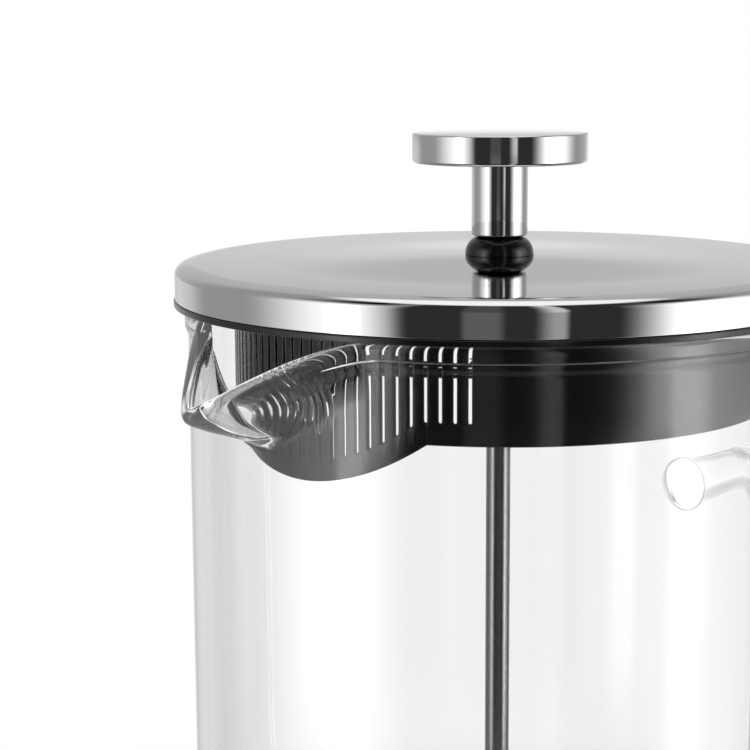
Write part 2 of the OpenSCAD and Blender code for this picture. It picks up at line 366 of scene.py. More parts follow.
def lathe(outline, steps=192):
    """Mesh of a closed outline of (radius, height) points turned about the Z axis."""
    turned = bmesh.new()
    rings = []
    for point in outline:
        if point[0] < 1e-7:
            rings.append([turned.verts.new((0, 0, point[1]))])
            continue
        rings.append([turned.verts.new((point[0] * math.cos(a), point[0] * math.sin(a), point[1]))
                      for a in (2 * math.pi * i / steps for i in range(steps))])
    for k, ring in enumerate(rings):
        other = rings[(k + 1) % len(rings)]
        for i in range(steps):
            j = (i + 1) % steps
            corners = [ring[i % len(ring)], ring[j % len(ring)],
                       other[j % len(other)], other[i % len(other)]]
            corners = list(dict.fromkeys(corners))
            if len(corners) > 2:
                turned.faces.new(corners)
    bmesh.ops.recalc_face_normals(turned, faces=turned.faces)
    return turned


def mesh_of(name, shape):
    """Mesh with the faces of a bmesh, which is freed."""
    mesh = bpy.data.meshes.new(name)
    shape.to_mesh(mesh)
    shape.free()
    return mesh


def piece_from(name, shape, slot, body, *nodes, sharp=30):
    """Object of a bmesh or mesh that rides on a body and stands for CAD nodes."""
    if isinstance(shape, bmesh.types.BMesh):
        mesh = mesh_of(name, shape)
    else:
        mesh = shape
        mesh.name = name
    mesh.materials.clear()
    mesh.materials.append(finish_for(slot))
    mesh.shade_smooth()
    mesh.set_sharp_from_angle(angle=math.radians(sharp))
    piece = bpy.data.objects.new(name, mesh)
    bpy.context.scene.collection.objects.link(piece)
    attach(piece, body)
    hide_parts(*nodes)
    return piece


def modifier_tree(name, inputs, takes_mesh=False):
    """A geometry node group with named number inputs, and their sockets."""
    tree = bpy.data.node_groups.new(name, "GeometryNodeTree")
    graph = Graph(tree)
    if takes_mesh:
        tree.interface.new_socket("Geometry", in_out="INPUT", socket_type="NodeSocketGeometry")
    kinds = {float: "NodeSocketFloat", int: "NodeSocketInt"}
    for label, value in inputs.items():
        tree.interface.new_socket(label, in_out="INPUT", socket_type=kinds[type(value)])
    tree.interface.new_socket("Geometry", in_out="OUTPUT", socket_type="NodeSocketGeometry")
    entry = graph.node("NodeGroupInput")
    given = {label: Number(graph, entry.outputs[label]) for label in inputs}
    if takes_mesh:
        given["Geometry"] = entry.outputs["Geometry"]
    return graph, given


def finish_tree(graph, geometry, slot):
    """Ends a tree with Realize Instances and Set Material."""
    real = graph.geometry("RealizeInstances", {0: geometry})
    painted = graph.geometry("SetMaterial", {"Geometry": real, "Material": finish_for(slot)})
    graph.node("NodeGroupOutput", None, {0: painted})


def grown(graph, inputs, base=None):
    """The plain mesh that a tree makes from its inputs, on a base mesh or curve if given."""
    data = base or bpy.data.meshes.new("seed")
    holder = bpy.data.objects.new("seed", data)
    bpy.context.scene.collection.objects.link(holder)
    modifier = holder.modifiers.new("grow", "NODES")
    modifier.node_group = graph.tree
    sockets = {item.name: item.identifier for item in graph.tree.interface.items_tree
               if item.in_out == "INPUT"}
    for label, value in inputs.items():
        modifier[sockets[label]] = value
    bpy.context.view_layer.update()
    depsgraph = bpy.context.evaluated_depsgraph_get()
    mesh = bpy.data.meshes.new_from_object(holder.evaluated_get(depsgraph), depsgraph=depsgraph)
    bpy.data.objects.remove(holder)
    return mesh


# ---------------------------------------------------------------- settings

def length(name, description, millimetres):
    return FloatProperty(name=name, description=description, default=millimetres * MM,
                         unit="LENGTH")


def angle(name, description, degrees):
    return FloatProperty(name=name, description=description, default=math.radians(degrees),
                         unit="ROTATION")


def position(name, description, millimetres):
    return FloatVectorProperty(name=name, description=description, unit="LENGTH", subtype="XYZ",
                               default=[value * MM for value in millimetres])


def colour(name, description, shade):
    return FloatVectorProperty(name=name, description=description, subtype="COLOR",
                               default=shade, min=0, max=1)


def factor(name, description, value):
    return FloatProperty(name=name, description=description, default=value)


def number(name, description, value, least):
    return IntProperty(name=name, description=description, default=value, min=least)


class JugSettings(bpy.types.PropertyGroup):
    """Sizes of the glass jug and its handle"""
    radius: length("Jug radius", "Outside radius of the jug wall", 50)
    wall: length("Wall", "Thickness of the glass wall", 2)
    floor: length("Floor", "Thickness of the glass floor", 3)
    foot: length("Foot radius", "Outside corner radius at the foot", 8)
    bead: length("Rim bead", "How far the thickened rim stands out from the wall", 0.5)
    spout_reach: length("Spout reach", "How far the spout stands out from the wall", 13.1)
    spout_drop: length("Spout drop", "How far the lip falls below the rim at its tip", 10.6)
    spout_root: length("Spout root", "How far below the rim the spout leaves the wall", 17.3)
    spout_angle: angle("Spout half angle", "Half angle of the wall the spout is pulled from", 21)
    ripple_start: position("Ripple start", "Point that the tool ripples run round", (-58.5, -4, 158))
    ripple_middle: position("Ripple middle", "Middle of the rippled patch on the spout's flank",
                            (-51.2, -10, 160.5))
    ripple_pitch: length("Ripple pitch", "Distance from one tool ripple to the next", 1.05)
    ripple_height: factor("Ripple height", "Height of the ripples as a share of the draw waves",
                          0.75)
    tint: colour("Glass tint", "Colour of the glass", (0.992, 0.996, 0.995))
    handle_flare: length("Handle flare", "Radius of the fillet where the handle is fused on", 2.6)


class LidSettings(bpy.types.PropertyGroup):
    """Sizes of the lid cap and the strainer"""
    sheet: length("Cap sheet", "Thickness of the steel cap", 0.8)
    rise: length("Cap rise", "How far the middle of the cap stands above its edge", 0.7)
    edge: length("Cap edge", "Radius of the cap's upper edge", 1.6)
    shoulder: length("Cap shoulder", "Radius of the easy bend before the cap's edge", 10)
    skirt_radius: length("Skirt radius", "Outside radius of the strainer skirt", 42.6)
    skirt_wall: length("Skirt wall", "Thickness of the strainer skirt", 0.85)
    skirt_drop: length("Skirt drop", "How far the skirt hangs below the glass rim", 15.5)
    apron_radius: length("Apron radius", "Radius of the curved lower edge below the slots", 35)
    slots: number("Slots", "Number of strainer slots", 28, 1)
    slot_pitch: angle("Slot pitch", "Angle between neighbouring slots", 2.864)
    slot_width: length("Slot width", "Width of a slot", 0.5)
    slot_margin: length("Slot margin", "Height of wall left below a slot", 3.2)
    plastic: colour("Plastic", "Colour of the strainer and the bush", (0.0035, 0.0035, 0.0037))


class FilterSettings(bpy.types.PropertyGroup):
    """Sizes of the filter at the foot of the plunger"""
    wire: length("Spring wire", "Diameter of the edge spring's wire", 0.6)
    turns: number("Spring turns", "Number of turns in the edge spring", 210, 20)
    holes: number("Holes", "Number of holes in each ring of the upper plate", 18, 6)
    screen_radius: length("Screen radius", "Outside radius of the woven screen", 47.4)
    weave_pitch: length("Weave pitch", "Distance between neighbouring wires of the screen", 0.5)


class StudioSettings(bpy.types.PropertyGroup):
    """Camera and light"""
    azimuth: angle("Camera azimuth", "Where the camera stands round the press", -46)
    distance: length("Camera distance", "Level distance from the plunger rod to the camera", 307.84)
    height: length("Camera height", "Height of the camera above the edge of the lid", 32.65)
    turn: angle("Camera turn", "How far the camera looks to the left of the rod", 3.74)
    pitch: angle("Camera pitch", "How far the camera looks down", 9.519)
    roll: angle("Camera roll", "How far the camera leans", -0.301)
    lens: factor("Lens", "Focal length in millimetres", 92.15)
    left_light: factor("Left light", "Brightness of the soft box at the left", 1.48)
    right_light: factor("Right light", "Brightness of the soft box at the right", 2.1)
    core_light: factor("Core light", "Extra brightness in the middle of the soft boxes", 1.6)
    top_light: factor("Top light", "Brightness of the light above", 1.3)
    strip_light: factor("Strip light", "Brightness of the narrow light beside the camera", 0.40)
    card_light: factor("Card light", "Brightness of the grey card before the camera", 0.11)
    flag_light: factor("Flag light", "Brightness left on the black flag", 0.035)


# ---------------------------------------------------------------- the jug

class SpoutForm:
    """The jug's outer wall near its rim, with the spout pulled out of it.

    Angles are in degrees from the middle of the spout, and lengths in metres.
    """
    middle_soft = 1.2           # angle over which the middle is rounded off
    dip_extra = 2.5             # how much wider the dip of the rim is than the spout
    rim_curve = 1.65            # how sharply the rim dips towards the middle
    lean_curve = 1.28           # how sharply the spout comes out towards the middle
    root_spread = 0.53 * MM     # how far the root climbs in one degree
    root_blunt = 2.3 * MM
    trough_half = 7             # angle at which the trough has given way to the flanks
    trough_full = 0.7           # share of the height at which the trough is fully out
    flank_curve = 1.5
    bead_height = 3.0 * MM
    bead_fade = 1.6 * MM

    def __init__(self, jug):
        self.jug = jug
        self.half = math.degrees(jug.spout_angle)
        self.root_low = RIM_TOP - jug.spout_root
        self.dip_half = self.half + self.dip_extra

    def off_middle(self, angle):
        """Angle from the middle, with the middle itself rounded off."""
        return np.sqrt(angle * angle + self.middle_soft ** 2) - self.middle_soft

    def share(self, angle, half):
        """1 in the middle of the spout, 0 from the half angle on."""
        return np.clip(1 - self.off_middle(angle) / half, 0, 1)

    def rim(self, angle):
        return RIM_TOP - self.jug.spout_drop * self.share(angle, self.dip_half) ** self.rim_curve

    def root(self, angle):
        """Height at which the wall starts to lean out."""
        climb = self.root_spread * self.off_middle(angle)
        return self.root_low + np.sqrt(self.root_blunt ** 2 + climb ** 2) - self.root_blunt

    def bead(self, angle, z):
        """How far the thickened rim stands out."""
        below = np.clip((self.rim(angle) - z - self.bead_height) / self.bead_fade, 0, 1)
        return self.jug.bead * (1 - below * below * (3 - 2 * below))

    def radius(self, angle, z):
        """The trough in the middle leans out early and then stands; the flanks lean out late."""
        root, rim = self.root(angle), self.rim(angle)
        rise = np.clip((z - root) / (rim - root), 0, 1.1)
        ramp = np.sqrt((rise / self.trough_full) ** 2 + 0.01) - 0.1
        trough = 0.5 * (ramp + 1 - np.sqrt((ramp - 1) ** 2 + 0.02))
        flank = rise ** self.flank_curve
        middle = np.exp(-(self.off_middle(angle) / self.trough_half) ** 2)
        lean = self.jug.spout_reach * self.share(angle, self.half) ** self.lean_curve
        return (self.jug.radius + lean * (middle * trough + (1 - middle) * flank)
                + self.bead(angle, z))

    def point(self, angle, z):
        r, turn = self.radius(angle, z), np.radians(angle)
        return np.stack([-r * np.cos(turn), -r * np.sin(turn), z + 0 * r], axis=-1)

    def normal(self, angle, z):
        around = self.point(angle + 0.05, z) - self.point(angle - 0.05, z)
        upward = self.point(angle, z + 0.05 * MM) - self.point(angle, z - 0.05 * MM)
        return unit(np.cross(around, upward))


def handle_joints():
    """Heights of the handle's two joints with the wall, the lower one first."""
    low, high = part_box("glass_handle")
    rod = (high.y - low.y) / 2
    return [low.z + rod, high.z - rod]


def joint_swell(distance):
    """How far the bore stands inward round a fused joint: a low dome with a sunk middle."""
    dome = np.exp(-(distance / (5.2 * MM)) ** 2)
    sink = np.exp(-(distance / (2.4 * MM)) ** 2)
    return (0.9 * dome - 0.6 * sink) * MM


def unit(vectors):
    return vectors / np.linalg.norm(vectors, axis=-1, keepdims=True)


def jug_rows(jug):
    """Rows of points from the middle of the base, up the wall, over the rim and down inside."""
    form = SpoutForm(jug)
    spout_arc, joint_arc = 36, 12
    angle = np.concatenate([
        np.arange(-spout_arc, spout_arc, 0.5),
        np.arange(spout_arc, 180 - joint_arc, 2.0),
        np.arange(180 - joint_arc, 180 + joint_arc, 0.5),
        np.arange(180 + joint_arc, 360 - spout_arc, 2.0),
    ])
    signed = np.where(angle > 180, angle - 360, angle)
    turn = np.radians(angle)

    def ring(r, z):
        return np.stack([-r * np.cos(turn), -r * np.sin(turn), np.full_like(turn, z)], axis=-1)

    bend = [math.radians(90 * i / 10) for i in range(11)]
    flat = jug.radius - jug.foot
    inner_foot = jug.foot - jug.wall
    punt = 0.5 * MM
    lower = RIM_TOP - 22 * MM
    joints = handle_joints()
    levels = [3 * jug.foot]
    for height in joints:
        levels += list(np.linspace(height - 9 * MM, height + 9 * MM, 25))
    levels = sorted(levels + [joints[0] + 20 * MM, joints[1] + 12 * MM])
    rows = [ring(r * flat, punt * (1 - r * r)) for r in (0.0, 0.35, 0.7)]
    rows += [ring(flat + jug.foot * math.sin(a), jug.foot * (1 - math.cos(a))) for a in bend]
    rows += [ring(jug.radius, z) for z in levels]

    thick = jug.wall + jug.bead
    top = form.rim(signed) - thick / 2
    outside, inside = [], []
    for u in np.linspace(0, 1, 46):
        z = lower + (top - lower) * u
        skin, facing = form.point(signed, z), form.normal(signed, z)
        outside.append(skin)
        inside.append(skin - facing * (jug.wall + form.bead(signed, z))[:, None])
    facing = form.normal(signed, top)
    edge = form.point(signed + 0.05, form.rim(signed + 0.05)) - form.point(
        signed - 0.05, form.rim(signed - 0.05))
    upward = unit(np.cross(facing, edge))
    half = np.linalg.norm(outside[-1] - inside[-1], axis=-1, keepdims=True) / 2
    middle = (outside[-1] + inside[-1]) / 2
    lip = [middle + half * (math.cos(a) * facing + math.sin(a) * upward)
           for a in (math.pi * i / 10 for i in range(1, 10))]
    rows += outside + lip + inside[::-1]

    bore = jug.radius - jug.wall
    across = np.radians(angle - 180) * bore
    for z in levels[::-1]:
        swell = sum(joint_swell(np.hypot(across, z - height)) for height in joints)
        rows.append(ring(bore - swell, z))
    rows += [ring(flat + inner_foot * math.sin(a),
                  jug.floor + inner_foot * (1 - math.cos(a))) for a in bend[::-1]]
    rows += [ring(r * flat, jug.floor) for r in (0.7, 0.35, 0.0)]
    return rows


def skin_of(rows):
    """Closed mesh of rings of points, whose first and last ring are single points."""
    made = bmesh.new()
    rings = [[made.verts.new(p) for p in row] for row in rows[1:-1]]
    first = made.verts.new(rows[0][0])
    last = made.verts.new(rows[-1][0])
    count = len(rings[0])
    for i in range(count):
        j = (i + 1) % count
        made.faces.new([first, rings[0][j], rings[0][i]])
        made.faces.new([last, rings[-1][i], rings[-1][j]])
        for below, above in zip(rings, rings[1:]):
            made.faces.new([below[i], below[j], above[j], above[i]])
    bmesh.ops.recalc_face_normals(made, faces=made.faces)
    return made


class PRESS_OT_jug(bpy.types.Operator):
    """Makes the glass jug with its rim and spout, and the rod handle fused to it"""
    bl_idname = "press.jug"
    bl_label = "Glass jug and handle"

    def execute(self, context):
        jug = context.scene.press_jug
        wall = mesh_of("jug_wall", skin_of(jug_rows(jug)))
        handle = self.handle(jug)
        inputs = {}
        graph, given = modifier_tree("fused_glass", inputs, takes_mesh=True)
        rod = bpy.data.objects.new("handle", handle)
        bpy.context.scene.collection.objects.link(rod)
        rod_mesh = graph.node("GeometryNodeObjectInfo", None, {"Object": rod}).outputs["Geometry"]
        fused = graph.node("GeometryNodeMeshBoolean", {"operation": "UNION", "solver": "MANIFOLD"},
                           {"Mesh 2": given["Geometry"]})
        graph.set(fused.inputs["Mesh 2"], rod_mesh)
        finish_tree(graph, fused.outputs[0], "clear_glass")
        mesh = grown(graph, inputs, wall)
        bpy.data.objects.remove(rod)
        piece_from("glass_jug", mesh, "clear_glass", "jug", "beaker", "glass_handle", sharp=180)
        return {"FINISHED"}

    def handle(self, jug):
        """The bent rod, widening to the wall at both ends."""
        low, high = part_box("glass_handle")
        rod = (high.y - low.y) / 2
        bend = 17 * MM
        bend_x = high.x - rod - bend
        in_wall = jug.radius - 0.7 * MM
        bottom, top = handle_joints()
        quarter = math.pi / 2
        path = [Vector((in_wall, top))]
        path += arc(Vector((bend_x, top - bend)), bend, quarter, -quarter, 12)
        path += arc(Vector((bend_x, bottom + bend)), bend, 0, -quarter, 12)
        path.append(Vector((in_wall, bottom)))
        curve = bpy.data.curves.new("handle_path", "CURVE")
        curve.dimensions = "3D"
        spline = curve.splines.new("POLY")
        spline.points.add(len(path) - 1)
        for point, (x, z) in zip(spline.points, path):
            point.co = (x, 0, z, 1)

        inputs = {"Rod radius": rod, "Fillet": jug.handle_flare}
        graph, given = modifier_tree("fused_rod", inputs, takes_mesh=True)
        even = graph.node("GeometryNodeResampleCurve", {"mode": "LENGTH"},
                          {"Curve": given["Geometry"], "Length": 0.4 * MM}).outputs[0]
        along = graph.out(graph.node("GeometryNodeSplineParameter"), "Length")
        whole = graph.out(graph.node("GeometryNodeSplineLength"), "Length")
        to_end = graph.math("MINIMUM", along, whole - along)
        inward = 1 - graph.math("MINIMUM", to_end / given["Fillet"], 1.0)
        width = given["Rod radius"] + given["Fillet"] * (1 - (1 - inward * inward) ** 0.5)
        section = graph.geometry("CurvePrimitiveCircle", {"Resolution": 48, "Radius": 1.0})
        tube = graph.geometry("CurveToMesh", {
            "Curve": even, "Profile Curve": section, "Scale": width, "Fill Caps": True})
        finish_tree(graph, tube, "clear_glass")
        return grown(graph, inputs, curve)


# ---------------------------------------------------------------- the lid

class PRESS_OT_cap(bpy.types.Operator):
    """Makes the polished steel cap"""
    bl_idname = "press.cap"
    bl_label = "Lid cap"

    def execute(self, context):
        lid = context.scene.press_lid
        hole = 3.6 * MM
        flat_from = 0.73 * CAP_RADIUS
        edge_top = CAP_TOP - lid.rise * (1 + math.cos(math.pi * hole / flat_from)) / 2

        def line(r):
            return edge_top + lid.rise / 2 * (1 + math.cos(math.pi * r / flat_from))

        radii = [hole + (flat_from - hole) * i / 40 for i in range(40)]
        top = [Vector((r, line(r))) for r in radii]
        ease = math.radians(12)
        bend_middle = CAP_RADIUS - lid.edge
        drop = lid.shoulder * (1 - math.cos(ease))
        bend_height = edge_top - drop - lid.edge * math.cos(ease)
        shoulder_middle = bend_middle - (lid.shoulder - lid.edge) * math.sin(ease)
        upright = math.pi / 2
        edge = arc(Vector((shoulder_middle, edge_top - lid.shoulder)), lid.shoulder,
                   upright, -ease, 10)
        edge += arc(Vector((bend_middle, bend_height)), lid.edge,
                    upright - ease, ease - upright, 16)[1:]
        inside = CAP_RADIUS - lid.sheet
        edge += rounded([
            (CAP_RADIUS, bend_height - 0.1 * MM, 0),
            (CAP_RADIUS, CAP_LOW, 0.25 * MM),
            (inside, CAP_LOW, 0.25 * MM),
            (inside, edge_top - lid.sheet - drop, 1 * MM),
            (flat_from, edge_top - lid.sheet, 0),
        ], 12)
        under = [Vector((r, line(r) - lid.sheet)) for r in radii[::-1]]
        outline = top + edge + under
        piece_from("steel_cap", lathe(outline, 360), "polished_steel", "lid", "lid_cap", sharp=50)
        return {"FINISHED"}


class PRESS_OT_strainer(bpy.types.Operator):
    """Makes the black strainer: its flange, and the skirt with the slots"""
    bl_idname = "press.strainer"
    bl_label = "Strainer"

    def execute(self, context):
        self.flange(context.scene.press_lid)
        self.skirt(context.scene.press_lid)
        return {"FINISHED"}

    def flange(self, lid):
        seat = CAP_RADIUS - lid.sheet - 0.1 * MM
        top = CAP_LOW + 2.6 * MM
        web = 2 * MM
        hub, bore = 8 * MM, 3.5 * MM
        outline = rounded([
            (bore, RIM_TOP - 5 * MM, 0),
            (hub, RIM_TOP - 5 * MM, 0.3 * MM),
            (hub, top - web, 0.8 * MM),
            (lid.skirt_radius - lid.skirt_wall, top - web, 0.6 * MM),
            (lid.skirt_radius - lid.skirt_wall, RIM_TOP, 0),
            (FLANGE_RADIUS, RIM_TOP, 0.2 * MM),
            (FLANGE_RADIUS, CAP_LOW, 0.15 * MM),
            (seat, CAP_LOW, 0),
            (seat, top, 0.3 * MM),
            (hub, top, 0),
            (hub, CAP_TOP - 1.6 * MM, 0.3 * MM),
            (bore, CAP_TOP - 1.6 * MM, 0),
        ], 5)
        piece_from("strainer_flange", lathe(outline, 288), "black_plastic", "lid", "lid_insert")

    def skirt(self, lid):
        rest_count = 98
        low = RIM_TOP - lid.skirt_drop
        inputs = {
            "Radius": lid.skirt_radius,
            "Slots": lid.slots,
            "Pitch": lid.slot_pitch,
            "Slot angle": lid.slot_width / lid.skirt_radius,
            "Top": RIM_TOP + 0.3 * MM,
            "Slot top": RIM_TOP - 1.8 * MM,
            "Low": low,
            "Margin": lid.slot_margin,
            "Apron middle": APRON_LOW + lid.apron_radius,
            "Apron radius": lid.apron_radius,
        }
        mesh = grown(self.skirt_tree(inputs, rest_count), inputs)
        piece = piece_from("strainer_skirt", mesh, "black_plastic", "lid", "lid_insert", sharp=35)
        wall = piece.modifiers.new("wall", "SOLIDIFY")
        wall.thickness = lid.skirt_wall
        wall.offset = -1
        wall.use_even_offset = True
        edge = piece.modifiers.new("edge", "BEVEL")
        edge.width = 0.26 * MM
        edge.segments = 2
        edge.limit_method = "ANGLE"
        edge.angle_limit = math.radians(50)

    def skirt_tree(self, inputs, rest_count):
        """A sheet bent round the skirt: four columns to a slot pitch, three rows of faces."""
        graph, given = modifier_tree("slotted_skirt", inputs)
        columns = 4 * (inputs["Slots"] + rest_count)
        sheet = graph.geometry("MeshGrid", {
            "Size X": float(columns), "Size Y": 3.0,
            "Vertices X": columns + 1, "Vertices Y": 4})
        x, y, _ = graph.xyz(graph.node("GeometryNodeInputPosition").outputs[0])
        column = x + columns / 2
        row = y + 1.5

        face_column = graph.math("FLOOR", column)
        slotted = (face_column % 4 < 0.5) * (face_column < given["Slots"] * 4)
        opening = slotted * (row > 1) * (row < 2)
        open_sheet = graph.node("GeometryNodeDeleteGeometry", {"domain": "FACE"},
                                {"Geometry": sheet, "Selection": opening}).outputs[0]

        index = graph.math("ROUND", column)
        level = graph.math("ROUND", row)
        module = graph.math("FLOOR", index / 4)
        step = index - module * 4
        slotted_arc = given["Slots"] * given["Pitch"]
        rest_pitch = (2 * math.pi - slotted_arc) / rest_count
        in_slots = index < given["Slots"] * 4
        base = in_slots * module * given["Pitch"] + (1 - in_slots) * (
            slotted_arc + (module - given["Slots"]) * rest_pitch)
        pitch = in_slots * given["Pitch"] + (1 - in_slots) * rest_pitch
        rib = (pitch - given["Slot angle"]) / 3
        past = (step > 0.5) * (given["Slot angle"] + (step - 1) * rib)
        angle = base + past - slotted_arc / 2 + given["Pitch"] / 2 - given["Slot angle"] / 2

        side = graph.math("SINE", angle) * given["Radius"]
        front = graph.math("COSINE", angle) > 0
        lower = self.curved_low(graph, given, side, front, 0.0, given["Low"])
        slot_low = self.curved_low(graph, given, side, front, given["Margin"],
                                   given["Low"] + given["Margin"])
        height = (level < 0.5) * lower
        height = height + (level > 0.5) * (level < 1.5) * slot_low
        height = height + (level > 1.5) * (level < 2.5) * given["Slot top"]
        height = height + (level > 2.5) * given["Top"]
        place = graph.vector(0 - graph.math("COSINE", angle) * given["Radius"], 0 - side, height)
        bent = graph.geometry("SetPosition", {"Geometry": open_sheet, "Position": place})
        closed = graph.geometry("MergeByDistance", {"Geometry": bent, "Distance": 0.01 * MM})
        finish_tree(graph, closed, "black_plastic")
        return graph

    def curved_low(self, graph, given, side, front, margin, straight):
        """Lower line at a side distance: the apron's arc where it hangs below the straight edge."""
        arc_radius = given["Apron radius"] - margin
        inside = graph.math("MAXIMUM", arc_radius * arc_radius - side * side, 0.0)
        arc = given["Apron middle"] - graph.math("SQRT", inside)
        lowest = graph.math("MINIMUM", arc, straight)
        return front * lowest + (1 - front) * straight


class PRESS_OT_bush(bpy.types.Operator):
    """Makes the black bush that guides the rod"""
    bl_idname = "press.bush"
    bl_label = "Guide bush"

    def execute(self, context):
        low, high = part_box("guide_bush")
        shank = 3.45 * MM
        bore = ROD_RADIUS + RUNNING_GAP
        seat = CAP_TOP + 0.04 * MM
        tall = high.z - seat
        bun = tall - 0.15 * MM
        middle = Vector((BUSH_RADIUS - bun, seat + 0.2 * MM))
        first, last = -math.asin(0.2 * MM / bun), math.asin((tall - 0.2 * MM) / bun)
        bulge = arc(middle, bun, first, last - first, 24)
        outline = [Vector((bore, low.z)), Vector((shank - 0.4 * MM, low.z)),
                   Vector((shank, low.z + 0.4 * MM)), Vector((shank, seat))]
        outline += bulge + [Vector((bore + 0.3 * MM, high.z)), Vector((bore, high.z - 0.3 * MM))]
        piece_from("rod_bush", lathe(outline, 160), "black_plastic", "lid_guide", "guide_bush",
                   sharp=40)
        return {"FINISHED"}


# ---------------------------------------------------------------- the plunger

class PRESS_OT_knob(bpy.types.Operator):
    """Makes the knob disc, its stem and the plunger rod"""
    bl_idname = "press.knob"
    bl_label = "Knob and rod"

    def execute(self, context):
        self.rod()
        self.stem()
        self.disc()
        return {"FINISHED"}

    def rod(self):
        low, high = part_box("plunger_rod")
        thread, pitch, depth = 9 * MM, 0.7 * MM, 0.25 * MM
        groove = [Vector((0, low.z)), Vector((ROD_RADIUS - 0.5 * MM, low.z))]
        for i in range(int(thread / pitch)):
            z = low.z + (i + 0.7) * pitch
            groove.append(Vector((ROD_RADIUS, z)))
            groove.append(Vector((ROD_RADIUS - depth, z + pitch / 2)))
        body = rounded([(ROD_RADIUS, low.z + thread + pitch, 0), (ROD_RADIUS, high.z, 0.4 * MM),
                        (0, high.z, 0)], 6)
        piece_from("rod_wire", lathe(groove + body, 96), "rod_steel", "rod", "plunger_rod")

    def stem(self):
        low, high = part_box("knob_stem")
        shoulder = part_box("knob_disc")[0].z
        spigot = 3 * MM
        rod_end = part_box("plunger_rod")[1].z + 0.2 * MM
        bore = ROD_RADIUS + RUNNING_GAP
        outline = rounded([
            (bore, low.z, 0),
            (STEM_RADIUS, low.z, 0.35 * MM),
            (STEM_RADIUS, shoulder, 0.08 * MM),
            (spigot, shoulder, 0),
            (spigot, high.z, 0.2 * MM),
            (0, high.z, 0),
            (0, rod_end, 0),
            (bore, rod_end, 0),
        ], 8)
        piece_from("stem_bar", lathe(outline, 160), "polished_steel", "plunger", "knob_stem",
                   sharp=40)

    def disc(self):
        low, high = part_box("knob_disc")
        hole, depth = 3.02 * MM, 3.3 * MM
        outline = rounded([
            (hole, low.z, 0.1 * MM),
            (KNOB_RADIUS, low.z, 0.6 * MM),
            (KNOB_RADIUS, high.z, 0.3 * MM),
            (0, high.z, 0),
            (0, low.z + depth, 0),
            (hole, low.z + depth, 0),
        ], 10)
        piece_from("press_knob", lathe(outline, 256), "polished_steel", "plunger", "knob_disc",
                   sharp=50)


